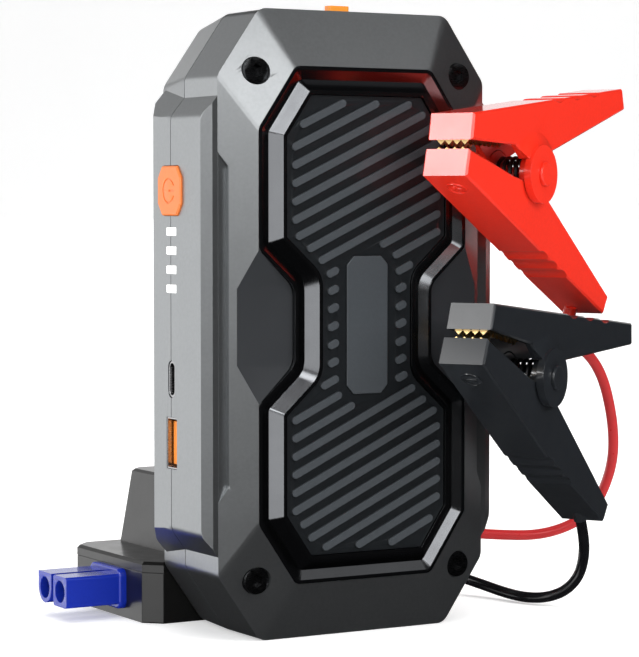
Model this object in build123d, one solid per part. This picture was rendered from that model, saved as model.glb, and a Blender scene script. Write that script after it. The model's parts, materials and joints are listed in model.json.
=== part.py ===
"""Jump starter pack with its smart clamp set.

Frame: X to the right, Y to the back, Z up.  The front of the pack faces -Y.
The origin is the middle of the pack's bottom face.  Lengths are in millimetres.
"""
from build123d import *
import math
import os

os.makedirs("parts", exist_ok=True)

# ---------------------------------------------------------------- driving dimensions
WIDTH = 80.0            # pack across the cover's rim
HEIGHT = 161.0          # pack from its bottom face to its top face
RIM_Y = -14.0           # back plane of the front cover
LIP_Y = -19.3           # front plane of the cover, around the recess
FACE_Y = -21.0          # foremost plane: the border of the raised panel
SEAM_Y = 4.3            # joint between the front and the rear shell
BACK_Y = 21.0           # back plane
CORNER_X = 12.0         # chamfered corner, along X
CORNER_Z = 17.2         # chamfered corner, along Z
WALL = 2.2              # shell wall
FIT = 0.15              # clearance between neighbouring moulded pieces
MID_Z = HEIGHT / 2

RECESS_HALF = 31.1      # recess in the cover: half width of its two lobes
RECESS_WAIST = 20.6     # half width at its waist
RECESS_HALF_Z = 65.9    # half height
RECESS_CUT_X = 10.7     # chamfer at its four corners
RECESS_CUT_Z = 15.7
LOBE_END_Z = 19.5       # from the middle to the inner end of a lobe
WAIST_END_Z = 9.9       # from the middle to the end of the waist

LIP = 1.0               # widths measured inward from the recess edge
VALLEY = 3.4
CREST = 6.2
BORDER = 7.2
VALLEY_Y = -18.2
PANEL_Y = -20.3         # ground of the ribbed panel
RIB_HEIGHT = 0.7

SPINE_X = 43.9          # outer face of the side spines
SPINE_FRONT_Y = -12.2
SPINE_BACK_Y = 14.9
SPINE_TOP_Z = 133.8
SPINE_BOTTOM_Z = 27.6

SCREW_X = 30.4          # cover screws, from the middle
SCREW_Z = 64.5
SCREW_HEAD_R = 3.4

PORT_Y = 4.0            # centre line of the button, lights and sockets on the left spine
BUTTON_Z = 114.9
LIGHT_Z = 97.1          # middle of the four charge lights
LIGHT_PITCH = 4.9
USB_C_Z = 66.5
USB_A_Z = 50.0

JUMP_Y = 1.5            # jump socket in the top face
JUMP_SIZE = (24.0, 14.0)

BOX_X = -41.5           # smart clamp box: its left, front, bottom corner
BOX_Y = 21.9
BOX_LENGTH = 49.5       # along X
BOX_WIDTH = 49.0        # along Y
BOX_BASE = 16.4
BOX_HEIGHT = 37.0
BOX_CUT = 4.3
TOWER_X = -27.5
PLUG_Y = 45.0
PLUG_Z = 7.9
BARREL_PITCH = 9.6
BARREL_R = 4.15
BARREL_LENGTH = 17.5

CLAMP_WIDTH = 13.0
CABLE_R = 1.5
CABLE_Y = (37.0, 52.0)  # where the red and the black cable leave the box
CABLE_Z = (20.0, 8.5)
PIN_R = 2.0
CHEEK_R = 7.7           # round cheeks of the upper arm, on both sides of the pivot
CHEEK_NEAR = 2.4        # how far they stand out from the arm's sides
CHEEK_FAR = 1.9
ARM_WALL = 1.8
JAW_HALF = 4.6          # brass jaw plates: half width, depth in the arm, tooth pitch and height
JAW_DEPTH = 1.5
JAW_PITCH = 2.4
JAW_TOOTH = 1.1
SPLIT_Z = 13.6          # joint between the two halves of the clamp box


# ---------------------------------------------------------------- helpers
def facing(y):
    """A plane parallel to the front, at depth y; its local axes are X and Z."""
    return Plane(origin=(0, y, MID_Z), x_dir=(1, 0, 0), z_dir=(0, -1, 0))


def octagon(width, height, cut_x, cut_z, round_r=0.0):
    """An upright octagon, centred, with rounded corners if asked."""
    x = width / 2
    z = height / 2
    corners = [(x - cut_x, z), (x, z - cut_z), (x, cut_z - z), (x - cut_x, -z),
               (cut_x - x, -z), (-x, cut_z - z), (-x, z - cut_z), (cut_x - x, z)]
    face = make_face(Polyline(*corners, close=True))
    if round_r:
        face = fillet(face.vertices(), round_r)
    return face


def prism(face, y_back, y_front):
    """Push a face drawn on the front axes from y_back forward to y_front."""
    return extrude(facing(y_back) * face, amount=y_back - y_front)


def taper(back_face, y_back, front_face, y_front):
    """A straight-sided solid between two outlines of the same shape."""
    return loft([facing(y_back) * back_face, facing(y_front) * front_face], ruled=True)


def mirrored(solid):
    return mirror(solid, about=Plane.YZ)


def save(name, shape):
    """Write one node, as one solid or as a group of separate solids."""
    solids = shape.solids()
    body = solids[0] if len(solids) == 1 else Compound(children=list(solids))
    body.label = name
    export_step(body, f"parts/{name}.step")


def block(x0, x1, y0, y1, z0, z1):
    """A box from its limits."""
    centre = ((x0 + x1) / 2, (y0 + y1) / 2, (z0 + z1) / 2)
    return Pos(*centre) * Box(x1 - x0, y1 - y0, z1 - z0)


def rod(start, direction, radius, length):
    """A round bar from a point along a direction."""
    plane = Plane(origin=start, z_dir=direction)
    return extrude(plane * Circle(radius), amount=length)


# ---------------------------------------------------------------- outlines of the recess
def recess_outline(inset, lobe_r=2.5, waist_r=5.0):
    """The waisted outline of the recess, moved inward by inset on every side."""
    top = RECESS_HALF_Z - inset
    side = RECESS_HALF - inset
    waist = RECESS_WAIST - inset
    corner = math.atan2(RECESS_CUT_Z, RECESS_CUT_X)
    slope = math.atan2(LOBE_END_Z - WAIST_END_Z, RECESS_HALF - RECESS_WAIST)
    top_shift = inset * math.tan(corner / 2)
    side_shift = inset * math.tan((math.pi / 2 - corner) / 2)
    lobe_shift = inset * math.tan((math.pi / 2 - slope) / 2)
    quarter = [
        (RECESS_HALF - RECESS_CUT_X - top_shift, top),
        (side, RECESS_HALF_Z - RECESS_CUT_Z - side_shift),
        (side, LOBE_END_Z + lobe_shift),
        (waist, WAIST_END_Z + lobe_shift),
    ]
    right = quarter + [(x, -z) for x, z in reversed(quarter)]
    outline = right + [(-x, z) for x, z in reversed(right)]
    face = make_face(Polyline(*outline, close=True))
    is_waist = [v for v in face.vertices() if abs(abs(v.X) - waist) < 0.01]
    face = fillet(is_waist, waist_r + inset * 0.3)
    outer = [v for v in face.vertices() if abs(v.Y) > LOBE_END_Z + lobe_shift - 0.01]
    return fillet(outer, max(lobe_r - inset * 0.25, 0.6))


def grip_outline():
    """The left finger grip: a hexagon that bites into the cover beside the waist."""
    return [(-RECESS_HALF, LOBE_END_Z), (-35.9, WAIST_END_Z - 0.2), (-35.9, 0.2 - WAIST_END_Z),
            (-RECESS_HALF, -LOBE_END_Z), (-RECESS_WAIST, -WAIST_END_Z), (-RECESS_WAIST, WAIST_END_Z)]


# ---------------------------------------------------------------- front cover
def front_cover():
    rim = octagon(WIDTH, HEIGHT, CORNER_X, CORNER_Z, 4.0)
    front = octagon(62.4, 2 * RECESS_HALF_Z, 10.9, 15.8, 4.0)
    body = taper(rim, RIM_Y, front, LIP_Y)
    body -= prism(recess_outline(0), RIM_Y + 1, LIP_Y - 1)
    grip = make_face(Polyline(*grip_outline(), close=True))
    grip_hole = prism(grip, RIM_Y + 1, LIP_Y - 1)
    body -= grip_hole
    body -= mirrored(grip_hole)
    notch = side_notch()
    body -= notch
    body -= mirrored(notch)
    for hole in screw_places():
        body -= rod((hole[0], RIM_Y + 1, hole[1]), (0, -1, 0), 1.7, 10)
        body -= rod((hole[0], RIM_Y - 0.9, hole[1]), (0, -1, 0), SCREW_HEAD_R + 0.15, 10)
    return body


def side_notch():
    """The shallow cut-out of the cover's left edge, beside the spine."""
    depth = -WIDTH / 2 + 2.4
    outline = [(-WIDTH / 2 - 2, 46.2), (-WIDTH / 2, 44.2), (depth, 40.4),
               (depth, -40.4), (-WIDTH / 2, -44.6), (-WIDTH / 2 - 2, -46.6)]
    face = make_face(Polyline(*outline, close=True))
    bends = [v for v in face.vertices() if v.X > -WIDTH / 2 - 1]
    return prism(fillet(bends, 2.2), RIM_Y + 1, LIP_Y - 1)


def screw_places():
    return [(sx * SCREW_X, MID_Z + sz * SCREW_Z) for sx in (-1, 1) for sz in (-1, 1)]


def cover_screws():
    """Four socket-head screws, M3 with a 6.8 mm head and a hexagon socket."""
    group = []
    for x, z in screw_places():
        head = rod((x, RIM_Y - 1.0, z), (0, -1, 0), SCREW_HEAD_R, 1.9)
        shank = rod((x, RIM_Y + 9, z), (0, -1, 0), 1.5, 10.2)
        socket = Plane(origin=(x, RIM_Y - 1.4, z), z_dir=(0, -1, 0)) * RegularPolygon(1.75, 6)
        group.append(head + shank - extrude(socket, amount=3))
    return Compound(children=group)


# ---------------------------------------------------------------- finger grips
def grip_left():
    """Two sloping triangles and a flat middle, on a hexagonal block."""
    front_y = [LIP_Y, -16.7, -16.7, LIP_Y, -18.0, -18.0]
    outline = grip_outline()
    front = [Vector(x, y, MID_Z + z) for (x, z), y in zip(outline, front_y)]
    back = [Vector(x, RIM_Y, MID_Z + z) for x, z in outline]
    top, left_up, left_low, bottom, right_low, right_up = range(6)
    patches = [(top, left_up, right_up), (left_up, left_low, right_low, right_up),
               (left_low, bottom, right_low)]
    faces = [Face(Wire.make_polygon([front[i] for i in patch])) for patch in patches]
    faces.append(Face(Wire.make_polygon(back)))
    for i in range(6):
        j = (i + 1) % 6
        faces.append(Face(Wire.make_polygon([front[i], front[j], back[j], back[i]])))
    return Solid(Shell(faces)) - prism(recess_outline(0), RIM_Y + 1, LIP_Y - 1)


# ---------------------------------------------------------------- raised panel
def panel_bezel():
    """Lip, V-shaped moat and raised border around the ribbed panel."""
    ring = prism(recess_outline(0.1), RIM_Y, LIP_Y)
    moat = taper(recess_outline(VALLEY), VALLEY_Y, recess_outline(LIP), LIP_Y)
    plateau = taper(recess_outline(VALLEY), VALLEY_Y, recess_outline(CREST), FACE_Y)
    pocket = prism(recess_outline(BORDER), RIM_Y - 1.5, FACE_Y - 1)
    opening = prism(recess_outline(BORDER + 2), RIM_Y + 1, FACE_Y)
    return ring - moat + plateau - pocket - opening


def nameplate_outline(grow=0.0):
    return octagon(12.2 + 2 * grow, 35.4 + 2 * grow, 2.0 + grow * 0.6, 2.2 + grow * 0.6)


def rib_field():
    """Diagonal bars cut short by the panel's edge and by the nameplate's surround."""
    rise = math.tan(math.radians(25.0))
    pitch = 4.62
    half_width = 0.98
    field = recess_outline(BORDER + 1.7) - nameplate_outline(2.6)
    bars = []
    for step in range(-21, 22):
        z = step * pitch
        line = Line((-30, z - 30 * rise), (30, z + 30 * rise))
        inside = line & field
        if inside is None:
            continue
        for piece in [e for e in inside.edges() if e.length > 1.2]:
            spare = min(half_width, piece.length / 2 - 0.35)
            start = piece.position_at(spare / piece.length)
            end = piece.position_at(1 - spare / piece.length)
            bars.append(SlotCenterPoint(*slot_points(start, end), 2 * half_width))
    return bars


def slot_points(start, end):
    """Middle and end centre of a bar, as a slot wants them."""
    return ((start + end) / 2, end)


def ribbed_panel():
    ground = prism(recess_outline(BORDER + FIT), RIM_Y - 1.5, PANEL_Y)
    for bar in rib_field():
        ground += prism(bar, PANEL_Y + 0.4, PANEL_Y - RIB_HEIGHT)
    return ground - prism(nameplate_outline(0.1), PANEL_Y + 0.8, PANEL_Y - 2)


def nameplate():
    return prism(nameplate_outline(), PANEL_Y + 0.8, PANEL_Y - 0.6)


# ---------------------------------------------------------------- shells
def spine_profile():
    """The spine seen from the front: sloping ends, rounded where they meet its outer face."""
    x = WIDTH / 2
    outline = [(-x + 3, 142 - MID_Z), (-x, 138.5 - MID_Z), (-SPINE_X, SPINE_TOP_Z - MID_Z),
               (-SPINE_X, SPINE_BOTTOM_Z - MID_Z), (-x, 22.4 - MID_Z), (-x + 3, 19 - MID_Z)]
    face = make_face(Polyline(*outline, close=True))
    ends = [v for v in face.vertices() if v.X < -SPINE_X + 0.1]
    return fillet(ends, 4.0)


def spine(points):
    """A stretch of the left spine, from its outline seen from above."""
    plan = make_face(Polyline(*points, close=True))
    return extrude(plan, amount=HEIGHT) & prism(spine_profile(), 30, -30)


def shell_outer_face(y):
    """The shell's outline: full size up to the seam, then drawn in toward the back."""
    part = max(0.0, (y - SEAM_Y) / (BACK_Y - SEAM_Y))
    draw = 2.5 * part
    face = octagon(WIDTH - 0.3 - 2 * draw, HEIGHT - 0.2 - draw, CORNER_X - 0.6 * part, CORNER_Z - part, 4.0)
    return Pos(0, -draw / 2 - 0.1) * face


def cavity_face(y):
    part = max(0.0, (y - SEAM_Y) / (BACK_Y - SEAM_Y))
    draw = 2.5 * part
    width = WIDTH - 0.3 - 2 * draw - 2 * WALL
    height = HEIGHT - 0.2 - draw - 2 * WALL
    return Pos(0, -draw / 2 - 0.1) * octagon(width, height, CORNER_X - 1.0, CORNER_Z - 1.2, 2.5)


def front_shell():
    body = prism(shell_outer_face(0), SEAM_Y, RIM_Y)
    side = spine([(-WIDTH / 2 + 3, RIM_Y + 0.1), (-WIDTH / 2 - 1.4, RIM_Y + 0.1), (-SPINE_X, SPINE_FRONT_Y),
                  (-SPINE_X, SEAM_Y), (-WIDTH / 2 + 3, SEAM_Y)])
    body += side
    body += mirrored(side)
    body = seam_chamfer(body)
    body -= prism(cavity_face(0), SEAM_Y + 1, RIM_Y + 2.0)
    hollow = spine_hollow()
    body -= hollow
    body -= mirrored(hollow)
    for x, z in screw_places():
        body += rod((x, RIM_Y + 1, z), (0, 1, 0), 4.0, 9.5)
        body -= rod((x, RIM_Y - 1, z), (0, 1, 0), 1.5, 10.3)
    return body - side_cutouts() - top_cutout()


def rear_shell():
    body = taper(shell_outer_face(BACK_Y), BACK_Y, shell_outer_face(SEAM_Y), SEAM_Y)
    side = spine([(-WIDTH / 2 + 4, SEAM_Y), (-SPINE_X, SEAM_Y), (-SPINE_X + 0.5, SPINE_BACK_Y),
                  (-40.6, SPINE_BACK_Y + 4.3), (-WIDTH / 2 + 4, SPINE_BACK_Y + 4.3)])
    body += side
    body += mirrored(side)
    body -= taper(cavity_face(BACK_Y), BACK_Y - WALL, cavity_face(SEAM_Y), SEAM_Y)
    hollow = spine_hollow()
    body -= hollow
    body -= mirrored(hollow)
    return body - side_cutouts() - top_cutout()


def seam_chamfer(body):
    """A fine V along the seam, on the outer edges of the joint face."""
    seam = body.faces().filter_by(Axis.Y).filter_by(lambda f: abs(f.center().Y - SEAM_Y) < 0.01)
    return chamfer(seam.sort_by(SortBy.AREA)[-1].outer_wire().edges(), 0.3)


def spine_hollow():
    """The space behind the left spine's outer wall, open to the main cavity."""
    return block(-SPINE_X + 2.0, -WIDTH / 2 + 3, -9.5, 14.0, 30, 131)


def side_cutouts():
    """Openings of the left spine, for the button, the lights and the two sockets."""
    y = PORT_Y
    plane = Plane(origin=(-SPINE_X - 1, y, 0), x_dir=(0, 1, 0), z_dir=(1, 0, 0))
    button = extrude(plane * (Pos(0, BUTTON_Z) * button_face(0.15)), amount=6)
    usb_c = extrude(plane * (Pos(0, USB_C_Z) * RectangleRounded(3.9, 9.6, 1.9)), amount=6)
    usb_a = extrude(plane * (Pos(0, USB_A_Z) * RectangleRounded(6.0, 13.4, 0.4)), amount=6)
    cuts = button + usb_c + usb_a
    for z in light_heights():
        cuts += block(-SPINE_X - 1, -SPINE_X + 4, y - 2.85, y + 2.85, z - 1.15, z + 1.15)
    return cuts


def light_heights():
    return [LIGHT_Z + (i - 1.5) * LIGHT_PITCH for i in range(4)]


def button_face(grow=0.0):
    return octagon(12.6 + 2 * grow, 12.7 + 2 * grow, 2.3, 3.0, 0.5)


def top_cutout():
    """Opening of the top face, for the jump socket and its cover."""
    length, width = JUMP_SIZE
    seat = block(-length / 2 - 0.3, length / 2 + 0.3, JUMP_Y - width / 2 - 0.3, JUMP_Y + width / 2 + 0.3,
                 HEIGHT - 1.2, HEIGHT + 1)
    well = block(-10.7, 10.7, JUMP_Y - 5.9, JUMP_Y + 5.9, HEIGHT - 6, HEIGHT + 1)
    strap = block(-5.1, 5.1, JUMP_Y + width / 2, JUMP_Y + width / 2 + 1.6, HEIGHT - 1.2, HEIGHT + 1)
    return seat + well + strap


# ---------------------------------------------------------------- controls and sockets
def power_button():
    plane = Plane(origin=(-SPINE_X + 3.2, PORT_Y, 0), x_dir=(0, -1, 0), z_dir=(-1, 0, 0))
    cap = extrude(plane * (Pos(0, BUTTON_Z) * button_face()), amount=3.9)
    top_edges = cap.faces().sort_by(Axis.X)[0].edges()
    cap = chamfer(top_edges, 0.35)
    symbol = Pos(0, BUTTON_Z) * power_symbol()
    face = Plane(origin=(-SPINE_X - 0.45, PORT_Y, 0), x_dir=(0, -1, 0), z_dir=(-1, 0, 0))
    cap -= extrude(face * symbol, amount=1)
    stem = rod((-SPINE_X + 3.2, PORT_Y, BUTTON_Z), (1, 0, 0), 1.6, 1.9)
    return cap + stem


def power_symbol():
    """The common power mark, lying on its side: an open ring and a bar."""
    ring = Circle(3.3) - Circle(2.8)
    ring -= Pos(2.8, 0) * Rectangle(3.0, 2.6)
    return ring + Pos(1.6, 0) * Rectangle(3.0, 0.5)


def power_switch():
    """Tactile switch under the button's stem."""
    body = block(-SPINE_X + 6.3, -SPINE_X + 9.3, PORT_Y - 3, PORT_Y + 3, BUTTON_Z - 3, BUTTON_Z + 3)
    return body


def charge_lights():
    """Four light pipes, flush with the spine."""
    bars = []
    for z in light_heights():
        bars.append(block(-SPINE_X, -SPINE_X + 5, PORT_Y - 2.75, PORT_Y + 2.75, z - 1.05, z + 1.05))
    return Compound(children=bars)


def usb_c_port():
    plane = Plane(origin=(-SPINE_X + 0.25, PORT_Y, USB_C_Z), x_dir=(0, -1, 0), z_dir=(1, 0, 0))
    shell = extrude(plane * RectangleRounded(3.7, 9.4, 1.8), amount=8)
    shell -= extrude(plane * RectangleRounded(2.6, 8.3, 1.25), amount=6.5)
    tongue = block(-SPINE_X + 1.2, -SPINE_X + 7.5, PORT_Y - 0.35, PORT_Y + 0.35, USB_C_Z - 3.3, USB_C_Z + 3.3)
    return shell + tongue


def usb_a_port():
    """Steel shell of the outlet socket, open to the left."""
    plane = Plane(origin=(-SPINE_X + 0.25, PORT_Y, USB_A_Z), x_dir=(0, -1, 0), z_dir=(1, 0, 0))
    shell = extrude(plane * RectangleRounded(5.8, 13.2, 0.4), amount=14)
    return shell - extrude(plane * RectangleRounded(5.1, 12.5, 0.3), amount=13.4)


def usb_a_tongue():
    """Coloured tongue inside the outlet socket, against its rear wall."""
    x0 = -SPINE_X + 1.6
    x1 = -SPINE_X + 13.65
    tongue = block(x0, x1, PORT_Y + 0.1, PORT_Y + 1.9, USB_A_Z - 5.6, USB_A_Z + 5.6)
    back = block(x1 - 2.4, x1, PORT_Y - 2.4, PORT_Y + 2.4, USB_A_Z - 6.0, USB_A_Z + 6.0)
    return tongue + back


def jump_socket():
    """Female two-pole jump socket, with a square well round each contact."""
    top = HEIGHT - 1.4
    body = block(-10.5, 10.5, JUMP_Y - 5.7, JUMP_Y + 5.7, top - 17, top)
    for side in (-1, 1):
        x = side * BARREL_PITCH / 2
        body -= block(x - 4.4, x + 4.4, JUMP_Y - 4.4, JUMP_Y + 4.4, top - 13, top + 1)
    body += block(-13, 13, JUMP_Y - 5.7, JUMP_Y + 5.7, top - 17, top - 14.5)
    return body


def jump_contacts():
    """Two round pins at the bottom of the jump socket's wells."""
    pins = []
    for side in (-1, 1):
        x = side * BARREL_PITCH / 2
        pins.append(rod((x, JUMP_Y, HEIGHT - 14.4), (0, 0, 1), 2.4, 6.5))
    return Compound(children=pins)


def port_cover():
    """Soft cover of the jump socket: a plate, a plug rim under it and a pull tab."""
    length, width = JUMP_SIZE
    y0 = JUMP_Y - width / 2
    plate = block(-length / 2, length / 2, y0, y0 + width, HEIGHT - 1.1, HEIGHT + 0.35)
    corners = plate.edges().filter_by(Axis.Z)
    plate = fillet(corners, 1.6)
    tab = block(-3.1, 3.1, y0 - 1.2, y0 + 1.6, HEIGHT + 0.1, HEIGHT + 2.0)
    tab = chamfer(tab.edges().filter_by(Axis.Z), 0.5)
    return plate + tab


def hinge_post():
    """The cover's anchor: a strap end buttoned into the shell behind the socket."""
    y1 = JUMP_Y + JUMP_SIZE[1] / 2 + 0.3
    return block(-5, 5, y1 + 0.1, y1 + 1.2, HEIGHT - 1.1, HEIGHT + 0.2)


# ---------------------------------------------------------------- inside the pack
def battery_cells():
    cells = []
    for i in range(3):
        y0 = -11.2 + i * 8.6
        cell = block(-19, 34, y0, y0 + 8.0, 23, 121)
        cells.append(fillet(cell.edges().filter_by(Axis.Z), 2.5))
    return cells


def cell_tray():
    """Plastic cradle that holds the three cells apart from the board."""
    tray = block(-20.5, 35.3, -11.7, 14.6, 20.6, 32)
    tray -= block(-19.3, 34.2, -11.5, 14.4, 22.8, 33)
    for x in (-12, 18):
        tray += block(x, x + 4, -8, 12, 2.4, 21)
    return tray


def cell_pads():
    """Foam pads between the cells."""
    return Compound(children=[block(-16, 31, y, y + 0.5, 30, 100) for y in (-3.15, 5.45)])


def main_board():
    strip = block(-36.5, -22.6, 7.4, 9.0, 26, 126)
    head = block(-36.5, 33, 7.4, 9.0, 122, 137)
    return strip + head


def board_parts():
    """Power transistors, inductor and capacitors on the main board."""
    parts = []
    for i in range(4):
        x = -22 + i * 13
        parts.append(block(x, x + 9, 2.8, 7.4, 124, 134))
    parts.append(block(-35, -25, 1.5, 7.4, 76, 86))
    parts.append(rod((-30, 7.4, 36), (0, -1, 0), 4, 8))
    return Compound(children=parts)


def heat_spreader():
    return block(-22, 32, 9.0, 11.0, 124, 136)


def power_lead(side):
    """One thick lead from the board's head to a jump socket contact."""
    x = side * BARREL_PITCH / 2
    points = [(x, 4.2, 137.2), (x, 4.2, 138.9), (x, JUMP_Y, 140.8), (x, JUMP_Y, 142.5)]
    path = FilletPolyline(*points, radius=2.6)
    start = Plane(origin=path @ 0, z_dir=path % 0)
    return sweep(start * Circle(1.6), path=path)


# ---------------------------------------------------------------- smart clamp box
def box_footprint(inset=0.0):
    x0 = BOX_X + inset
    x1 = BOX_X + BOX_LENGTH - inset
    y0 = BOX_Y + inset
    y1 = BOX_Y + BOX_WIDTH - inset
    face = make_face(Polyline((x0, y0), (x1, y0), (x1, y1), (x0, y1), close=True))
    return chamfer(face.vertices(), BOX_CUT - inset * 0.6)


def tower_footprint(inset=0.0, x_shift=0.0):
    x0 = TOWER_X + inset + x_shift
    x1 = BOX_X + BOX_LENGTH - inset - x_shift * 0.4
    y0 = BOX_Y + inset + x_shift
    y1 = BOX_Y + BOX_WIDTH - inset - x_shift
    face = make_face(Polyline((x0, y0), (x1, y0), (x1, y1), (x0, y1), close=True))
    return chamfer(face.vertices(), 3.0)


def box_base():
    """Lower half of the box, a tray with four screw posts."""
    body = extrude(box_footprint(), amount=SPLIT_Z)
    body -= extrude(Pos(0, 0, 2) * box_footprint(2.0), amount=SPLIT_Z)
    for x, y in box_screw_places():
        body += rod((x, y, 1), (0, 0, 1), 3.0, SPLIT_Z - 1)
        body -= rod((x, y, -1), (0, 0, 1), 1.3, SPLIT_Z + 2)
        body -= rod((x, y, -0.1), (0, 0, 1), 2.6, 2.6)
    body -= plug_window()
    return body - rod((BOX_X + BOX_LENGTH - 4, CABLE_Y[1], CABLE_Z[1]), (1, 0, 0), 2.6, 8)


def plug_window():
    return block(BOX_X - 1, BOX_X + 3, PLUG_Y - 8.2, PLUG_Y + 8.2, PLUG_Z - 4.6, PLUG_Z + 4.6)


def box_screw_places():
    xs = (BOX_X + 7.0, BOX_X + BOX_LENGTH - 7.0)
    ys = (BOX_Y + 7.0, BOX_Y + BOX_WIDTH - 7.0)
    return [(x, y) for x in xs for y in ys]


def box_cover():
    """Upper half: the deck behind the plug and the tapered tower."""
    deck = extrude(Pos(0, 0, SPLIT_Z) * box_footprint(), amount=BOX_BASE - SPLIT_Z)
    top_edges = deck.faces().sort_by(Axis.Z)[-1].edges()
    deck = chamfer(top_edges, 0.8)
    tower = loft([Pos(0, 0, BOX_BASE - 0.5) * tower_footprint(),
                  Pos(0, 0, BOX_HEIGHT) * tower_footprint(0, 2.6)], ruled=True)
    tower = chamfer(tower.faces().sort_by(Axis.Z)[-1].edges(), 0.7)
    body = deck + tower
    body -= loft([Pos(0, 0, SPLIT_Z - 1) * tower_footprint(2.2), Pos(0, 0, BOX_HEIGHT - 2) *
                  tower_footprint(2.0, 2.6)], ruled=True)
    return body - rod((BOX_X + BOX_LENGTH - 8, CABLE_Y[0], CABLE_Z[0]), (1, 0, 0), 2.6, 12)


def box_screws():
    group = []
    for x, y in box_screw_places():
        group.append(rod((x, y, 0.7), (0, 0, 1), 2.4, 1.6) + rod((x, y, 2), (0, 0, 1), 1.2, 9.5))
    return Compound(children=group)


def box_board():
    return block(BOX_X + 11, BOX_X + BOX_LENGTH - 11, BOX_Y + 4, BOX_Y + BOX_WIDTH - 4, 4.4, 6.0)


def box_relay():
    """Power relay of the reverse-polarity protection."""
    return block(-22, -4, BOX_Y + 16, BOX_Y + 32, 6.0, 22)


def ec5_plug():
    """Male jump plug: a flange, a square barrel in front and a round barrel behind."""
    x = BOX_X
    flange = extrude(Plane(origin=(x, PLUG_Y, PLUG_Z), x_dir=(0, 1, 0), z_dir=(-1, 0, 0))
                     * RectangleRounded(19.0, 10.9, 2.2), amount=2.0)
    flange = fillet(flange.faces().sort_by(Axis.X)[0].edges(), 0.6)
    root = block(x, x + 6, PLUG_Y - 8, PLUG_Y + 8, PLUG_Z - 4.4, PLUG_Z + 4.4)
    near = barrel(PLUG_Y - BARREL_PITCH / 2, RectangleRounded(2 * BARREL_R, 2 * BARREL_R, 0.9))
    far_shape = Circle(BARREL_R) + Pos(0, -BARREL_R / 2) * Rectangle(2 * BARREL_R, BARREL_R)
    far = barrel(PLUG_Y + BARREL_PITCH / 2, far_shape)
    body = flange + root + near + far
    for y in (PLUG_Y - BARREL_PITCH / 2, PLUG_Y + BARREL_PITCH / 2):
        body -= rod((x - BARREL_LENGTH - 1, y, PLUG_Z), (1, 0, 0), 2.95, BARREL_LENGTH + 4)
    return body


def barrel(y, shape):
    plane = Plane(origin=(BOX_X, y, PLUG_Z), x_dir=(0, 1, 0), z_dir=(-1, 0, 0))
    return extrude(plane * shape, amount=BARREL_LENGTH)


def plug_contacts():
    """Two bullet sleeves, set back inside the barrels."""
    group = []
    for y in (PLUG_Y - BARREL_PITCH / 2, PLUG_Y + BARREL_PITCH / 2):
        sleeve = rod((BOX_X - BARREL_LENGTH + 3.0, y, PLUG_Z), (1, 0, 0), 2.95, BARREL_LENGTH - 0.5)
        bore = rod((BOX_X - BARREL_LENGTH + 2.0, y, PLUG_Z), (1, 0, 0), 2.3, 12)
        group.append(sleeve - bore)
    return Compound(children=group)


def relief(index):
    """Tapered rubber sleeve where a cable leaves the box."""
    x = BOX_X + BOX_LENGTH
    root = rod((x - 2.2, CABLE_Y[index], CABLE_Z[index]), (1, 0, 0), 2.55, 2.2)
    start = Plane(origin=(x, CABLE_Y[index], CABLE_Z[index]), z_dir=(1, 0, 0))
    cone = loft([start * Circle(3.4), start.offset(10.2) * Circle(2.2)], ruled=True)
    return root + cone


# ---------------------------------------------------------------- clamps
class Clamp:
    """Where a clamp stands: its pivot, its heading about Z, its roll and its handle squeeze.

    cable_out and cable_line place the cable's boss across the handle and aim it.
    """

    def __init__(self, name, pivot, heading, roll, squeeze, cable_out, cable_line):
        self.name = name
        self.roll = roll
        self.squeeze = squeeze
        self.cable_out = cable_out
        self.cable_line = cable_line
        turn = math.radians(heading)
        self.plane = Plane(origin=pivot, x_dir=(math.cos(turn), math.sin(turn), 0),
                           z_dir=(math.sin(turn), -math.cos(turn), 0))

    def place(self, shape):
        return self.plane.location * (Rot(0, 0, self.roll) * shape)

    def world(self, x, y, out=0.0):
        """The frame position of a point of the clamp, out being its distance toward the front."""
        turn = math.radians(self.roll)
        rolled = (x * math.cos(turn) - y * math.sin(turn), x * math.sin(turn) + y * math.cos(turn), out)
        return self.plane.from_local_coords(rolled)

    def handle(self, x, y, sign):
        """A handle point, turned a little toward the other handle."""
        turn = math.radians(sign * self.squeeze)
        return (x * math.cos(turn) - y * math.sin(turn), x * math.sin(turn) + y * math.cos(turn))


CLAMPS = [Clamp("red", (43.9, -23.4, 119.3), 27.6, 0.0, 0.0, -4.0, (0.60, -0.66, -0.45)),
          Clamp("black", (41.6, -31.8, 66.3), 29.9, -9.1, 3.9, 0.0, (0.52, -0.85, 0.0))]


def slab(points, half_width):
    """A closed outline given thickness to both sides of the clamp's middle plane."""
    face = make_face(Polyline(*points, close=True))
    return extrude(Pos(0, 0, -half_width) * face, amount=2 * half_width)


def disc(radius, low, high):
    """A round plate about the pivot between two levels, and its twin on the other side."""
    plate = extrude(Pos(0, 0, low) * Circle(radius), amount=high - low)
    return plate + mirror(plate, about=Plane.XY)


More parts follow.
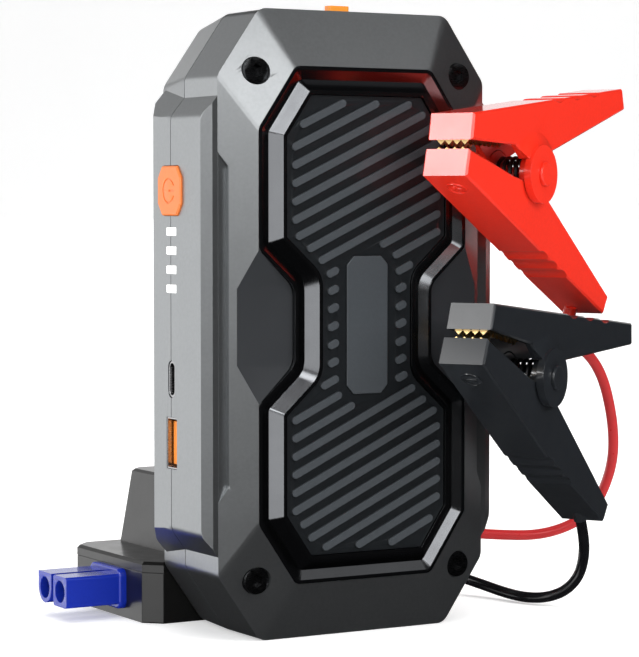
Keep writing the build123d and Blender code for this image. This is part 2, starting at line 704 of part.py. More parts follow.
def upper_arm(clamp):
    half = CLAMP_WIDTH / 2
    tip_top = (-34, 15.2)
    end_top = clamp.handle(52.9, 24.4, -1)
    end_low = clamp.handle(54.4, 18.6, -1)
    knee = clamp.handle(10.7, 6.4, -1)
    outline = [tip_top, (-35.3, 8.4), (-11, 7.5), (-6.4, 4.0), (4.0, 4.0), knee, end_low, end_top]
    body = round_long_edges(slab(outline, half), half)
    for step in range(3):
        body -= scallop(tip_top, end_top, 48.3 + 10.6 * step, 5.5, 1.1)
    inner = [(-31.5, 13.3), (-33.0, 5), (-11, 3), (4, -2), (16, 3), (60, 12), clamp.handle(50.6, 22.0, -1)]
    body -= slab(inner, half - ARM_WALL)
    body += cheek_cone(outline, half)
    body -= extrude(Pos(0, 0, -half - 0.3) * Circle(6.6), amount=CLAMP_WIDTH + 0.6)
    body += disc(CHEEK_R, half + 0.3, half + CHEEK_FAR)
    body += extrude(Pos(0, 0, half + CHEEK_FAR) * Circle(CHEEK_R), amount=CHEEK_NEAR - CHEEK_FAR)
    body -= slab(jaw_seat(*UPPER_JAW, JAW_DEPTH), JAW_HALF)
    return body - extrude(Pos(0, 0, -12) * Circle(PIN_R), amount=24)


def cheek_cone(outline, half):
    """The cones that lead from the arm's flat sides up to its round cheeks."""
    cone = loft([Pos(0, 0, half - 0.2) * Circle(11.9), Pos(0, 0, half + 1.4) * Circle(CHEEK_R)])
    return (cone + mirror(cone, about=Plane.XY)) & slab(outline, 2 * half)


def round_long_edges(body, half):
    """Soften the outer edges that run round both sides of an arm."""
    edges = body.edges().filter_by(lambda e: abs(abs(e.center().Z) - half) < 0.01)
    return chamfer(edges, 0.5)


def scallop(start, end, along, radius, depth):
    """A round finger hollow across an arm, at a distance along the edge from start to end.

    The arm lies to the right of that edge.
    """
    ahead = (Vector(*end) - Vector(*start)).normalized()
    outward = Vector(-ahead.Y, ahead.X)
    centre = Vector(*start) + ahead * along + outward * (radius - depth)
    return extrude(Pos(centre.X, centre.Y, -CLAMP_WIDTH) * Circle(radius), amount=2 * CLAMP_WIDTH)


def lower_arm(clamp):
    half = CLAMP_WIDTH / 2
    end_low = clamp.handle(41.4, -38.2, 1)
    end_top = clamp.handle(44.4, -33.5, 1)
    heel = clamp.handle(7.7, -6.9, 1)
    tip_low = (-38.2, -0.7)
    belly = (3.0, -20.3)
    outline = [(-36.4, 6.1), tip_low, belly, end_low, end_top, heel, (3.0, -3.0), (-10.9, -0.8)]
    body = round_long_edges(slab(outline, half), half)
    for step in range(3):
        body -= scallop(end_low, belly, 27.4 + 6.2 * step, 4.2, 0.8)
    inner = [(-34.4, 8), (-36.0, 0.9), (3.0, -17.9), clamp.handle(38.6, -34.6, 1), clamp.handle(40, -30, 1),
             (10, 0), (-10, 8)]
    core = slab(inner, half - ARM_WALL)
    body += disc(6.2, half - ARM_WALL, half)
    body -= core
    body -= slab(jaw_seat(*LOWER_JAW, JAW_DEPTH), JAW_HALF)
    body += polarity_mark(clamp, tip_low, belly)
    end, line = cable_boss(clamp)
    body += rod(end - 4 * line, line, 1.9, 4)
    body -= rod(end, line, CABLE_R + 0.1, 6)
    return body - extrude(Pos(0, 0, -12) * Circle(PIN_R), amount=24)


def polarity_mark(clamp, tip, belly):
    """Raised plus or minus sign in a ring, on the underside of the jaw."""
    ahead = (Vector(*belly) - Vector(*tip)).normalized()
    outward = Vector(ahead.Y, -ahead.X)
    centre = Vector(*tip) + ahead * 7.5 - outward * 0.3
    sign = Circle(2.9) - Circle(2.4) + Rectangle(3.0, 0.55)
    if clamp.name == "red":
        sign += Rectangle(0.55, 3.0)
    plane = Plane(origin=(centre.X, centre.Y, 0), x_dir=(0, 0, 1), z_dir=(outward.X, outward.Y, 0))
    return extrude(plane * sign, amount=0.55)


def jaw_rim(x0, y0, slope, side, length, depth):
    """The jaw plate's outline without its teeth: a strip along the arm's edge."""
    x1 = x0 + length
    y1 = y0 + slope * length
    return [(x0, y0), (x1, y1), (x1, y1 - side * depth), (x0, y0 - side * depth)]


def jaw_seat(x0, y0, slope, side, length, depth):
    """The cutter that lets a jaw plate into its arm, open at the arm's edge."""
    x1 = x0 + length
    y1 = y0 + slope * length
    return [(x0, y0 + side * 3), (x1, y1 + side * 3), (x1, y1 - side * depth), (x0, y0 - side * depth)]


def jaw_plate(x0, y0, slope, side, length):
    """Stamped brass jaw: a channel with a row of teeth on each wall and across the tip.

    side is +1 for teeth that point up and -1 for teeth that point down.
    """
    wall = 0.8
    body = slab(jaw_rim(x0, y0, slope, side, length, JAW_DEPTH), JAW_HALF)
    for i in range(int((length - wall) / JAW_PITCH)):
        x = x0 + wall + i * JAW_PITCH
        y = y0 + slope * (x - x0)
        rise = slope * JAW_PITCH
        tooth = [(x, y - side * 0.3), (x, y), (x + JAW_PITCH / 2, y + rise / 2 + side * JAW_TOOTH),
                 (x + JAW_PITCH, y + rise), (x + JAW_PITCH, y + rise - side * 0.3)]
        body += slab(tooth, JAW_HALF)
    start = y0 - side * (JAW_DEPTH - 0.7)
    end = start + slope * (length + 2)
    x1 = x0 + length + 2
    hollow = [(x0 + wall, start), (x1, end), (x1, end + side * 6), (x0 + wall, start + side * 6)]
    body -= slab(hollow, JAW_HALF - wall)
    return body + front_teeth(x0, y0, side, wall)


def front_teeth(x0, y0, side, wall):
    """Four teeth across the tip of a jaw plate."""
    pitch = JAW_HALF / 2
    plane = Plane(origin=(x0, y0, 0), x_dir=(0, 0, 1), z_dir=(1, 0, 0))
    row = []
    for i in range(4):
        z = -JAW_HALF + i * pitch
        root = side * 0.3
        tooth = [(z, root), (z, 0), (z + pitch / 2, -side * JAW_TOOTH), (z + pitch, 0), (z + pitch, root)]
        row.append(extrude(plane * make_face(Polyline(*tooth, close=True)), amount=wall))
    return row[0] + row[1:]


# Where a jaw plate starts, the slope of its arm's edge, the side its teeth point to, and its length.
UPPER_JAW = (-33.6, 8.33, -0.037, -1, 19.0)
LOWER_JAW = (-34.7, 5.64, -0.2706, 1, 13.4)


def upper_jaw():
    return jaw_plate(*UPPER_JAW)


def lower_jaw():
    return jaw_plate(*LOWER_JAW)


def pivot_pin():
    """Rivet with a domed cap on the near side and a flat one on the far side."""
    near = CLAMP_WIDTH / 2 + CHEEK_NEAR
    far = CLAMP_WIDTH / 2 + CHEEK_FAR
    pin = extrude(Pos(0, 0, -far) * Circle(PIN_R - 0.03), amount=far + near)
    cap = extrude(Pos(0, 0, near) * Circle(3.2), amount=1.1)
    cap = fillet(cap.faces().sort_by(Axis.Z)[-1].edges(), 0.5)
    tail = extrude(Pos(0, 0, -far - 0.6) * Circle(3.0), amount=0.6)
    return pin + cap + tail


def torsion_spring():
    """Four turns round the pin, with a leg into each arm."""
    radius = 4.3
    wire = 0.55
    pitch = 1.8
    height = 4 * pitch
    coil = Pos(0, 0, -height / 2) * Helix(pitch=pitch, height=height, radius=radius)
    start = Plane(origin=coil @ 0, z_dir=coil % 0)
    spring = sweep(start * Circle(wire), path=coil, is_frenet=True)
    spring += rod(coil @ 1, coil % 1, wire, 6.5)
    return spring + rod(coil @ 0, -(coil % 0), wire, 6.5)


# ---------------------------------------------------------------- cables
RED_ROUTE = [(94.4, 6.5, 66.4), (102.7, 10.5, 49.1), (107.5, 17.0, 34.4), (105.5, 24.5, 20.2),
             (94.0, 30.5, 14.1), (77.8, 34.5, 14.7), (52.0, 36.6, 18.2), (33.0, 37.0, 20.0), (18.2, 37.0, 20.0)]
BLACK_ROUTE = [(76.5, -10.9, 13.2), (75.8, -9.3, 7.9), (72.6, -7.3, 4.0), (68.4, -4.2, 2.2), (65.2, 1.2, 1.8),
               (64.0, 9.5, 2.2), (61.5, 19.5, 3.9), (56.5, 29.0, 6.2), (48.0, 39.0, 8.3), (38.0, 47.5, 9.0),
               (28.5, 52.0, 8.5), (18.2, 52.0, 8.5)]


def cable_boss(clamp):
    """End and direction of the cable boss under a lower handle, in the clamp's own axes."""
    x, y = clamp.handle(40.8, -39.0, 1)
    along, down = clamp.handle(clamp.cable_line[0], clamp.cable_line[1], 1)
    line = Vector(along, down, clamp.cable_line[2]).normalized()
    return Vector(x, y, clamp.cable_out) - 1.2 * line, line


def route(clamp, first_run, points):
    """A cable's corner points: it leaves the handle square to the boss, then follows the list."""
    end, line = cable_boss(clamp)
    ahead = end + first_run * line
    return [tuple(clamp.world(*end)), tuple(clamp.world(*ahead))] + points


def cable(points):
    """Straight runs joined by arcs as large as the two runs allow."""
    nodes = [Vector(*p) for p in points]
    radii = []
    for before, here, after in zip(nodes, nodes[1:], nodes[2:]):
        turn = math.radians((here - before).get_angle(after - here))
        shorter = min((here - before).length, (after - here).length)
        radii.append(0.45 * shorter / math.tan(turn / 2))
    path = FilletPolyline(*nodes, radius=radii)
    start = Plane(origin=path @ 0, z_dir=path % 0)
    tube = sweep(start * Circle(CABLE_R), path=path)
    section = math.pi * CABLE_R ** 2
    print("corners", [tuple(round(v, 2) for v in node) for node in nodes])
    print("cable", round(path.length, 1), "mm; radii", [round(r, 1) for r in radii],
          "volume ratio", round(tube.volume / (section * path.length), 4))
    return tube


# ---------------------------------------------------------------- nodes
def save_pack():
    save("front_cover", front_cover())
    save("cover_screws", cover_screws())
    grip = grip_left()
    save("grip_insert_left", grip)
    save("grip_insert_right", mirrored(grip))
    save("panel_bezel", panel_bezel())
    save("ribbed_panel", ribbed_panel())
    save("nameplate", nameplate())
    save("front_shell", front_shell())
    save("rear_shell", rear_shell())
    save("power_button", power_button())
    save("power_switch", power_switch())
    save("charge_lights", charge_lights())
    save("usb_c_port", usb_c_port())
    save("usb_a_port", usb_a_port())
    save("usb_a_tongue", usb_a_tongue())
    save("jump_socket", jump_socket())
    save("jump_contacts", jump_contacts())
    save("port_cover", port_cover())
    save("port_hinge_strap", hinge_post())
    for number, cell in enumerate(battery_cells(), start=1):
        save(f"battery_cell_{number}", cell)
    save("cell_tray", cell_tray())
    save("cell_pads", cell_pads())
    save("main_board", main_board())
    save("board_parts", board_parts())
    save("heat_spreader", heat_spreader())
    save("positive_lead", power_lead(1))
    save("negative_lead", power_lead(-1))


def save_box():
    save("box_base", box_base())
    save("box_cover", box_cover())
    save("box_screws", box_screws())
    save("box_board", box_board())
    save("box_relay", box_relay())
    save("ec5_plug", ec5_plug())
    save("plug_contacts", plug_contacts())
    save("red_grommet", relief(0))
    save("black_grommet", relief(1))


def save_clamp(clamp):
    save(f"{clamp.name}_upper_arm", clamp.place(upper_arm(clamp)))
    save(f"{clamp.name}_lower_arm", clamp.place(lower_arm(clamp)))
    save(f"{clamp.name}_upper_jaw", clamp.place(upper_jaw()))
    save(f"{clamp.name}_lower_jaw", clamp.place(lower_jaw()))
    save(f"{clamp.name}_pin", clamp.place(pivot_pin()))
    save(f"{clamp.name}_spring", clamp.place(torsion_spring()))


save_pack()
save_box()
for one in CLAMPS:
    save_clamp(one)
save("red_cable", cable(route(CLAMPS[0], 10.2, RED_ROUTE)))
save("black_cable", cable(route(CLAMPS[1], 6.2, BLACK_ROUTE)))
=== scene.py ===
"""Looks of the jump starter pack: cables, edge rounding, materials, studio and camera.

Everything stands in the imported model's own frame, in metres: X right, Y back, Z up.
"""
import json
import math

import bpy
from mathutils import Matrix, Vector


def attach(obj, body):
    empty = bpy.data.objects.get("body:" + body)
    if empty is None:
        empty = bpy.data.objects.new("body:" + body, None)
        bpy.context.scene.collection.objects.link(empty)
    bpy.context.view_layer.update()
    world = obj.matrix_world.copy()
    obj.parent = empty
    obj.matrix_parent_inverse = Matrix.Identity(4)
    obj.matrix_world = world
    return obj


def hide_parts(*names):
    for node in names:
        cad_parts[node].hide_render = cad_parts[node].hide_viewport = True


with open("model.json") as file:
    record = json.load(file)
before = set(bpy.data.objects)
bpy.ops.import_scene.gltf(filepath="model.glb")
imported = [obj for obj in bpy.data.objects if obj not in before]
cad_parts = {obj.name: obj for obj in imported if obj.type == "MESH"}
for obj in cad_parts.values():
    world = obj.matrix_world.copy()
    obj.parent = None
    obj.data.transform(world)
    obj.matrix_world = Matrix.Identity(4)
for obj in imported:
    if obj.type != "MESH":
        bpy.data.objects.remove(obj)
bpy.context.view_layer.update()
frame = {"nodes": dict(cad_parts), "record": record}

MM = 0.001

# ---------------------------------------------------------------- camera
LONGER_SIDE = 657.0     # of the frame, in the same unit as FOCAL_LENGTH
FOCAL_LENGTH = 2543.0
SENSOR = 36.0
NEAREST_SEEN = 0.01
CAMERA_YAW = -30.5
CAMERA_PITCH = 2.81
CAMERA_PLACE = (-342.19 * MM, -577.41 * MM, 111.58 * MM)


def add_camera():
    data = bpy.data.cameras.new("camera")
    data.sensor_width = SENSOR
    data.lens = FOCAL_LENGTH / LONGER_SIDE * data.sensor_width
    data.clip_start = NEAREST_SEEN
    camera = bpy.data.objects.new("camera", data)
    camera.location = CAMERA_PLACE
    camera.rotation_euler = (math.radians(90 - CAMERA_PITCH), 0, math.radians(CAMERA_YAW))
    bpy.context.scene.collection.objects.link(camera)
    bpy.context.scene.camera = camera


# ---------------------------------------------------------------- cables
CABLE_DIAMETER = 3.0 * MM
CABLES = {
    "red": {
        "length": 167.0 * MM,
        "route": [(77.82, -1.77, 81.09), (81.12, 5.14, 74.35), (94.4, 6.5, 66.4), (102.7, 10.5, 49.1),
                  (107.5, 17.0, 34.4), (105.5, 24.5, 20.2), (94.0, 30.5, 14.1), (77.8, 34.5, 14.7),
                  (52.0, 36.6, 18.2), (33.0, 37.0, 20.0), (18.2, 37.0, 20.0)],
    },
    "black": {
        "length": 111.6 * MM,
        "route": [(73.3, -13.57, 24.84), (75.68, -12.2, 19.28), (76.5, -10.9, 13.2), (75.8, -9.3, 7.9),
                  (72.6, -7.3, 4.0), (68.4, -4.2, 2.2), (65.2, 1.2, 1.8), (64.0, 9.5, 2.2), (61.5, 19.5, 3.9),
                  (56.5, 29.0, 6.2), (48.0, 39.0, 8.3), (38.0, 47.5, 9.0), (28.5, 52.0, 8.5),
                  (18.2, 52.0, 8.5)],
    },
}


def add_cable(colour):
    """A NURBS curve along the cable's route.

    Its thickness is in the points' radii and not in the bevel, because an object's bounds add the radii.
    """
    facts = CABLES[colour]
    points = [Vector(p) * MM for p in facts["route"]]
    curve = bpy.data.curves.new(f"{colour}_cable_curve", "CURVE")
    curve.dimensions = "3D"
    curve.resolution_u = 24
    curve.bevel_depth = 1.0
    curve.bevel_resolution = 8
    curve.use_fill_caps = True
    spline = curve.splines.new("NURBS")
    spline.points.add(len(points) - 1)
    for target, point in zip(spline.points, points):
        target.co = (*point, 1.0)
        target.radius = CABLE_DIAMETER / 2
    spline.order_u = 3
    spline.use_endpoint_u = True
    piece = bpy.data.objects.new(f"{colour}_cable_skin", curve)
    bpy.context.scene.collection.objects.link(piece)
    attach(piece, "clamp_set")
    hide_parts(f"{colour}_cable")
    return piece


# ---------------------------------------------------------------- material building
class Shader:
    """One procedural material: a Principled shader and the nodes that vary it."""

    IOR = 1.5

    def __init__(self, name, roughness, metallic=0.0, coat=0.0, coat_roughness=0.1, specular=0.5):
        self.material = bpy.data.materials.new(name)
        self.material.use_nodes = True
        self.tree = self.material.node_tree
        self.shader = self.tree.nodes["Principled BSDF"]
        self.set("Roughness", roughness)
        self.set("Metallic", metallic)
        self.set("Coat Weight", coat)
        self.set("Coat Roughness", coat_roughness)
        self.set("Specular IOR Level", specular)
        self.set("IOR", self.IOR)
        self.roughness = roughness
        self.place = self.tree.nodes.new("ShaderNodeTexCoord").outputs["Object"]

    def set(self, socket, value):
        self.shader.inputs[socket].default_value = value

    def link(self, source, target):
        self.tree.links.new(source, target)

    def noise(self, scale, detail=3.0, rough=0.55, stretch=(1, 1, 1)):
        """Noise of about 1/scale metres, from 0 to 1; stretch squeezes it along an axis."""
        mapping = self.tree.nodes.new("ShaderNodeMapping")
        mapping.inputs["Scale"].default_value = stretch
        node = self.tree.nodes.new("ShaderNodeTexNoise")
        node.inputs["Scale"].default_value = scale
        node.inputs["Detail"].default_value = detail
        node.inputs["Roughness"].default_value = rough
        self.link(self.place, mapping.inputs["Vector"])
        self.link(mapping.outputs["Vector"], node.inputs["Vector"])
        return node.outputs["Fac"]

    def cells(self, scale, output="Distance", feature="F1"):
        node = self.tree.nodes.new("ShaderNodeTexVoronoi")
        node.feature = feature
        node.inputs["Scale"].default_value = scale
        self.link(self.place, node.inputs["Vector"])
        return node.outputs[output]

    def ramp(self, source, *stops):
        """Colours along a 0 to 1 value; each stop is (place, colour)."""
        node = self.tree.nodes.new("ShaderNodeValToRGB")
        ramp = node.color_ramp
        while len(ramp.elements) < len(stops):
            ramp.elements.new(0.5)
        for element, (place, colour) in zip(ramp.elements, stops):
            element.position = place
            element.color = (*colour, 1.0)
        self.link(source, node.inputs["Fac"])
        return node.outputs["Color"]

    def spread(self, source, low, high, start=0.3, end=0.7):
        node = self.tree.nodes.new("ShaderNodeMapRange")
        node.inputs["From Min"].default_value = start
        node.inputs["From Max"].default_value = end
        node.inputs["To Min"].default_value = low
        node.inputs["To Max"].default_value = high
        self.link(source, node.inputs["Value"])
        return node.outputs["Result"]

    def mix(self, factor, first, second):
        node = self.tree.nodes.new("ShaderNodeMix")
        node.data_type = "RGBA"
        colours = [s for s in node.inputs if s.type == "RGBA"]
        for socket, value in zip(colours, (first, second)):
            if isinstance(value, tuple):
                socket.default_value = (*value, 1.0)
            else:
                self.link(value, socket)
        self.link(factor, node.inputs["Factor"])
        return next(s for s in node.outputs if s.type == "RGBA")

    def base(self, colour):
        self.link(colour, self.shader.inputs["Base Color"])

    def vary_roughness(self, source, amount):
        low = max(self.roughness - amount, 0.02)
        self.link(self.spread(source, low, self.roughness + amount), self.shader.inputs["Roughness"])

    def bump(self, *layers):
        """Each layer is (height source, depth in metres, strength)."""
        normal = None
        for source, depth, strength in layers:
            node = self.tree.nodes.new("ShaderNodeBump")
            node.inputs["Distance"].default_value = depth
            node.inputs["Strength"].default_value = strength
            self.link(source, node.inputs["Height"])
            if normal:
                self.link(normal, node.inputs["Normal"])
            normal = node.outputs["Normal"]
        self.link(normal, self.shader.inputs["Normal"])


def shade(colour, factor):
    return tuple(min(c * factor, 1.0) for c in colour)


def metallic_paint(name, colour, roughness=0.30):
    """Fine metal flake under a satin clear coat, with a trace of orange peel."""
    s = Shader(name, roughness, metallic=0.96, coat=0.12, coat_roughness=0.25)
    tint = s.ramp(s.noise(22, 4), (0.35, shade(colour, 0.97)), (0.65, shade(colour, 1.03)))
    flake = s.ramp(s.noise(1100, 1), (0.3, shade(colour, 0.94)), (0.7, shade(colour, 1.06)))
    s.base(s.mix(s.noise(90, 2), tint, flake))
    s.vary_roughness(s.noise(130, 4), 0.012)
    s.bump((s.noise(180, 1), 0.000004, 0.15))
    return s.material


def moulded_plastic(name, colour, roughness=0.45, grain=1300, grain_depth=0.00002, coat=0.0, variation=0.06):
    """Injection-moulded plastic: spark-eroded grain and a slow drift of colour and gloss."""
    s = Shader(name, roughness, coat=coat, coat_roughness=0.10)
    tone = s.ramp(s.noise(35, 3), (0.3, shade(colour, 1 - variation)), (0.7, shade(colour, 1 + variation)))
    speck = s.ramp(s.noise(grain, 1), (0.35, shade(colour, 0.95)), (0.65, shade(colour, 1.05)))
    s.base(s.mix(s.noise(200, 2), tone, speck))
    s.vary_roughness(s.noise(240, 4), 0.03)
    s.bump((s.noise(grain, 1), grain_depth, 0.12))
    return s.material


def ribbed_plastic(name, floor, bar, floor_y, bar_y):
    """Panel plastic whose ground between the bars is painted darker than the bars, by depth along Y: a
    painted shade in the recesses.
    """
    s = Shader(name, 0.34, coat=0.3)
    split = s.tree.nodes.new("ShaderNodeSeparateXYZ")
    s.link(s.place, split.inputs["Vector"])
    # painted shade: surfaces deeper along Y take the darker ground colour, so the recesses between the bars
    # look shaded
    height = s.spread(split.outputs["Y"], 0.0, 1.0, floor_y, bar_y)
    grain = s.noise(1300, 1)
    low = s.ramp(grain, (0.35, shade(floor, 0.9)), (0.65, shade(floor, 1.1)))
    high = s.ramp(grain, (0.35, shade(bar, 0.96)), (0.65, shade(bar, 1.04)))
    s.base(s.mix(height, low, high))
    s.vary_roughness(s.noise(240, 4), 0.03)
    s.bump((grain, 0.000005, 0.12))
    return s.material


def gloss_metal(name, colour, roughness):
    """Smooth dark chrome: hardly any texture, only a slow drift of tone and gloss."""
    s = Shader(name, roughness, metallic=1.0)
    s.base(s.ramp(s.noise(60, 3), (0.3, shade(colour, 0.95)), (0.7, shade(colour, 1.05))))
    s.vary_roughness(s.noise(300, 3), 0.015)
    s.bump((s.noise(500, 1), 0.000002, 0.2))
    return s.material


def worked_metal(name, colour, roughness=0.28, streak=(1, 1, 14), dark=0.6):
    """Bare metal with drawn streaks, blotches and small pits."""
    s = Shader(name, roughness, metallic=1.0)
    lines = s.noise(900, 3, stretch=streak)
    blotch = s.noise(260, 4)
    drawn = s.ramp(lines, (0.3, shade(colour, 0.85)), (0.7, colour))
    s.base(s.mix(s.spread(blotch, 0.0, 0.5), drawn, shade(colour, dark)))
    s.vary_roughness(lines, 0.09)
    s.bump((lines, 0.00001, 0.35), (s.cells(1900), 0.00001, 0.2))
    return s.material


def soft_rubber(name, colour, roughness=0.38, sheen=0.05, dust=0.04):
    """Silicone or rubber skin: faint dust, very fine grain and a soft gloss."""
    s = Shader(name, roughness, coat=0.3, coat_roughness=0.15)
    s.set("Sheen Weight", sheen)
    specks = s.noise(900, 5, 0.65)
    tone = s.ramp(s.noise(60, 2), (0.3, shade(colour, 0.92)), (0.7, shade(colour, 1.08)))
    s.base(s.mix(s.spread(specks, 0.0, dust, 0.6, 0.8), tone, (0.45, 0.42, 0.40)))
    s.vary_roughness(s.noise(600, 3), 0.05)
    s.bump((s.noise(3600, 2), 0.00001, 0.3))
    return s.material


def circuit_board(name):
    """Solder mask over a network of tracks, with small bright pads."""
    s = Shader(name, 0.35, coat=0.3)
    tracks = s.cells(240, "Distance", "DISTANCE_TO_EDGE")
    mask = s.ramp(tracks, (0.02, (0.05, 0.30, 0.12)), (0.06, (0.015, 0.13, 0.05)))
    pads = s.spread(s.cells(420), 1.0, 0.0, 0.08, 0.12)
    s.base(s.mix(pads, mask, (0.70, 0.62, 0.38)))
    s.vary_roughness(s.noise(300), 0.06)
    s.bump((tracks, 0.00005, 0.4))
    return s.material


def lit_light(name):
    """A milky light pipe, lit from behind."""
    s = Shader(name, 0.3, coat=0.4)
    glow = s.ramp(s.noise(700, 2), (0.3, (0.93, 0.94, 0.92)), (0.7, (1.0, 1.0, 0.99)))
    s.base(glow)
    s.link(glow, s.shader.inputs["Emission Color"])
    s.set("Emission Strength", 0.75)
    s.bump((s.noise(1800, 1), 0.00001, 0.3))
    return s.material


# ---------------------------------------------------------------- what each node is made of
PANEL_GROUND_Y = -20.3 * MM
GRAPHITE = (0.40, 0.415, 0.425)
POLISHED_MOULD = 0.000004       # depth in metres of a glossy moulding's grain


def make_materials():
    """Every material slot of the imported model."""
    return {
        "cover_paint": metallic_paint("cover_paint", GRAPHITE, 0.31),
        "shell_paint": metallic_paint("shell_paint", shade(GRAPHITE, 0.93), 0.33),
        # the panel's ground colour is a painted shade, much darker than its bars
        "panel_plastic": ribbed_plastic("panel_plastic", (0.008, 0.0095, 0.011), (0.044, 0.050, 0.056),
                                        PANEL_GROUND_Y - 0.05 * MM, PANEL_GROUND_Y - 0.35 * MM),
        "bezel_gloss": gloss_metal("bezel_gloss", (0.17, 0.175, 0.184), 0.22),
        "grip_plastic": moulded_plastic("grip_plastic", (0.022, 0.024, 0.027),
                                        0.42, grain=1900, grain_depth=0.00004),
        "screw_steel": worked_metal("screw_steel", (0.09, 0.092, 0.096), 0.3, dark=0.5),
        "button_plastic": moulded_plastic("button_plastic", (0.86, 0.22, 0.05),
                                          0.35, grain_depth=POLISHED_MOULD),
        "light_plastic": lit_light("light_plastic"),
        "port_steel": worked_metal("port_steel", (0.60, 0.60, 0.61), 0.25),
        "tongue_plastic": moulded_plastic("tongue_plastic", (1.0, 0.30, 0.04), 0.4),
        "socket_plastic": moulded_plastic("socket_plastic", (0.01, 0.05, 0.50), 0.3, coat=0.3),
        "contact_brass": worked_metal("contact_brass", (0.85, 0.62, 0.28), 0.22),
        "flap_rubber": soft_rubber("flap_rubber", (0.95, 0.33, 0.03)),
        "cell_foil": worked_metal("cell_foil", (0.72, 0.73, 0.74), 0.3, (1, 1, 1), 0.85),
        "foam": soft_rubber("foam", (0.04, 0.04, 0.045), 0.9, 0.4),
        "tray_plastic": moulded_plastic("tray_plastic", (0.03, 0.03, 0.032), 0.5),
        "board_green": circuit_board("board_green"),
        "chip_black": moulded_plastic("chip_black", (0.02, 0.02, 0.022), 0.55),
        "heat_aluminium": worked_metal("heat_aluminium", (0.80, 0.80, 0.81), 0.3, (14, 1, 1), 0.85),
        "red_rubber": soft_rubber("red_rubber", (0.48, 0.018, 0.020), 0.32),
        "black_rubber": soft_rubber("black_rubber", (0.004, 0.004, 0.005), 0.22, 0.02, 0.01),
        "box_plastic": moulded_plastic("box_plastic", (0.006, 0.0058, 0.0056),
                                       0.32, grain_depth=POLISHED_MOULD, coat=0.35),
        "plug_plastic": moulded_plastic("plug_plastic", (0.008, 0.028, 0.38),
                                        0.22, grain_depth=POLISHED_MOULD, coat=0.5),
        "red_plastic": moulded_plastic("red_plastic", (0.80, 0.026, 0.010),
                                       0.32, grain_depth=POLISHED_MOULD, coat=1.0,
                                       variation=0.03),
        "black_plastic": moulded_plastic("black_plastic", (0.014, 0.016, 0.019),
                                         0.32, grain_depth=POLISHED_MOULD, coat=1.0),
        "jaw_brass": worked_metal("jaw_brass", (0.80, 0.57, 0.26), 0.3, (14, 1, 1)),
        "spring_steel": worked_metal("spring_steel", (0.04, 0.04, 0.042), 0.42, dark=0.5),
    }


DEFAULT_ROUNDING = 0.20 * MM
MOULDING_ROUNDING = 0.35 * MM
EDGE_ROUNDING = {"front_cover": 0.15 * MM, "panel_bezel": 0.22 * MM, "ribbed_panel": 0.14 * MM}
for moulding in ("front_shell", "rear_shell", "box_base", "box_cover",
                 "red_upper_arm", "red_lower_arm", "black_upper_arm", "black_lower_arm"):
    EDGE_ROUNDING[moulding] = MOULDING_ROUNDING
SHARPEST_SMOOTH_TURN = 24       # degrees
SAME_CORNER = 0.003 * MM


def dress_nodes(materials):
    """Each CAD node takes the material of its slot, and its sharp edges are rounded."""
    slots = {part["node"]: part["material_slot"] for part in frame["record"]["subparts"]}
    for name, node in frame["nodes"].items():
        node.data.materials.clear()
        node.data.materials.append(materials[slots[name]])
        round_edges(node, EDGE_ROUNDING.get(name, DEFAULT_ROUNDING))


def round_edges(node, width):
    """Joins the split corners, rounds the sharp edges and evens the shading."""
    mesh = node.data
    if "custom_normal" in mesh.attributes:
        mesh.attributes.remove(mesh.attributes["custom_normal"])
    mesh.shade_smooth()
    weld = node.modifiers.new("weld", "WELD")
    weld.merge_threshold = SAME_CORNER
    bevel = node.modifiers.new("rounded_edges", "BEVEL")
    bevel.width = width
    bevel.segments = 2
    bevel.limit_method = "ANGLE"
    bevel.angle_limit = math.radians(SHARPEST_SMOOTH_TURN)
    bevel.use_clamp_overlap = True
    even = node.modifiers.new("even_shading", "WEIGHTED_NORMAL")
    even.weight = 80


# ---------------------------------------------------------------- studio
OBJECT_MIDDLE = Vector((0.0, 0.0, 0.08))
FLOOR_FRONT = 2.5
FLOOR_BACK = 1.1
CURVE_RADIUS = 0.9
CURVE_STEPS = 24
WALL_HEIGHT = 3.5
HALF_WIDTH = 3.5
PAPER_GLOW = 0.42
ROOM_COLOUR = (0.012, 0.012, 0.013, 1)


def add_backdrop():
    """A pale floor that curves up into a wall behind the object."""
    profile = [(-FLOOR_FRONT, 0.0), (FLOOR_BACK, 0.0)]
    for step in range(1, CURVE_STEPS + 1):
        turn = math.radians(90 * step / CURVE_STEPS)
        profile.append((FLOOR_BACK + CURVE_RADIUS * math.sin(turn), CURVE_RADIUS * (1 - math.cos(turn))))
    profile.append((FLOOR_BACK + CURVE_RADIUS, WALL_HEIGHT))
    points = [(x, y, z) for y, z in profile for x in (-HALF_WIDTH, HALF_WIDTH)]
    faces = [(2 * i, 2 * i + 1, 2 * i + 3, 2 * i + 2) for i in range(len(profile) - 1)]
    mesh = bpy.data.meshes.new("backdrop")
    mesh.from_pydata(points, [], faces)
    mesh.shade_smooth()
    backdrop = bpy.data.objects.new("backdrop", mesh)
    backdrop.rotation_euler = (0, 0, math.radians(CAMERA_YAW))
    s = Shader("paper", 0.9, specular=0.1)
    paper = s.ramp(s.noise(3, 2), (0.3, (0.86, 0.86, 0.86)), (0.7, (0.88, 0.88, 0.88)))
    s.base(paper)
    s.link(paper, s.shader.inputs["Emission Color"])
    s.set("Emission Strength", PAPER_GLOW)
    mesh.materials.append(s.material)
    backdrop.visible_glossy = False
    bpy.context.scene.collection.objects.link(backdrop)


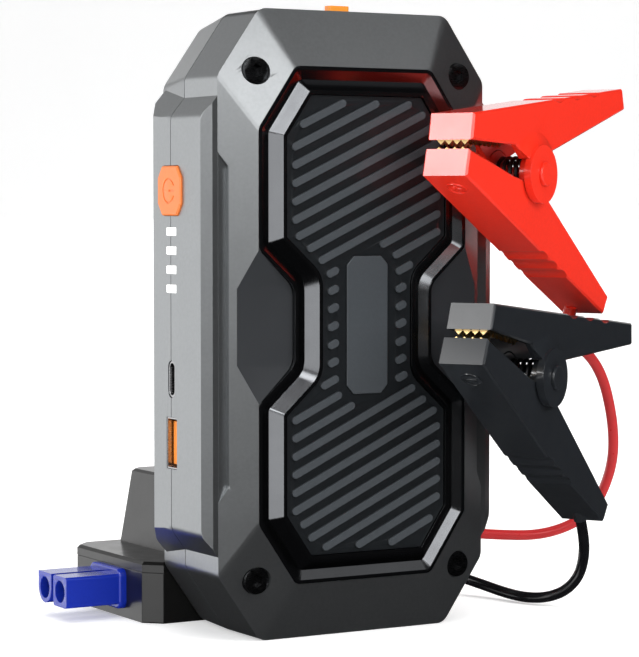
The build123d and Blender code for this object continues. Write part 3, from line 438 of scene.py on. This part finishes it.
def add_softbox(name, direction, distance, size, brightness, glossy=True, diffuse=True):
    """A rectangular light that faces the object from a direction; brightness is its radiance."""
    data = bpy.data.lights.new(name, "AREA")
    data.shape = "RECTANGLE"
    data.size, data.size_y = size
    data.energy = brightness * math.pi * size[0] * size[1]
    light = bpy.data.objects.new(name, data)
    away = Vector(direction).normalized()
    light.location = OBJECT_MIDDLE + away * distance
    light.rotation_euler = (-away).to_track_quat("-Z", "Y").to_euler()
    light.visible_camera = False
    light.visible_glossy = glossy
    light.visible_diffuse = diffuse
    bpy.context.scene.collection.objects.link(light)


def add_lights():
    """Softboxes where the glossy slopes need them, and fill light that only matt surfaces see."""
    add_softbox("left_strip", (-0.966, -0.259, 0.05), 1.2, (1.15, 0.9), 1.6)
    add_softbox("key_high_left", (-0.5, -0.55, 0.66), 1.4, (0.5, 0.5), 5.0)
    add_softbox("left_back", (-0.55, 0.83, 0.0), 1.3, (1.3, 0.9), 1.15)
    add_softbox("back_high", (-0.22, 0.86, 0.50), 1.3, (0.8, 0.5), 0.45)
    add_softbox("beside_camera", (-0.46, -0.86, 0.24), 1.6, (0.75, 0.5), 2.1)
    add_softbox("front_high", (-0.03, -0.93, 0.36), 1.3, (0.45, 0.4), 3.2)
    add_softbox("tip_red", (-0.915, 0.07, 0.40), 1.2, (0.5, 0.30), 8.0, diffuse=False)
    add_softbox("tip_black", (-0.84, 0.02, 0.56), 1.2, (0.5, 0.22), 2.4, diffuse=False)
    add_softbox("front_right_high", (0.51, -0.69, 0.52), 1.3, (0.5, 0.5), 0.4)
    add_softbox("behind", (0.51, 0.86, 0.12), 1.5, (1.6, 0.8), 0.9)
    add_softbox("front_fill", (0.40, -0.75, 0.50), 1.4, (1.0, 1.0), 4.4, glossy=False)
    add_softbox("left_fill", (-0.9, -0.2, 0.4), 1.4, (0.8, 0.8), 1.6, glossy=False)
    add_softbox("overhead_fill", (0.0, 0.1, 1.0), 1.4, (1.2, 1.2), 3.5, glossy=False)
    world = bpy.data.worlds.new("studio")
    world.use_nodes = True
    world.node_tree.nodes["Background"].inputs["Color"].default_value = ROOM_COLOUR
    bpy.context.scene.world = world


# ---------------------------------------------------------------- build
add_camera()
cables = {colour: add_cable(colour) for colour in CABLES}
materials = make_materials()
dress_nodes(materials)
for colour, piece in cables.items():
    piece.data.materials.append(materials[f"{colour}_rubber"])
add_backdrop()
add_lights()
bpy.context.scene.view_settings.view_transform = "Standard"
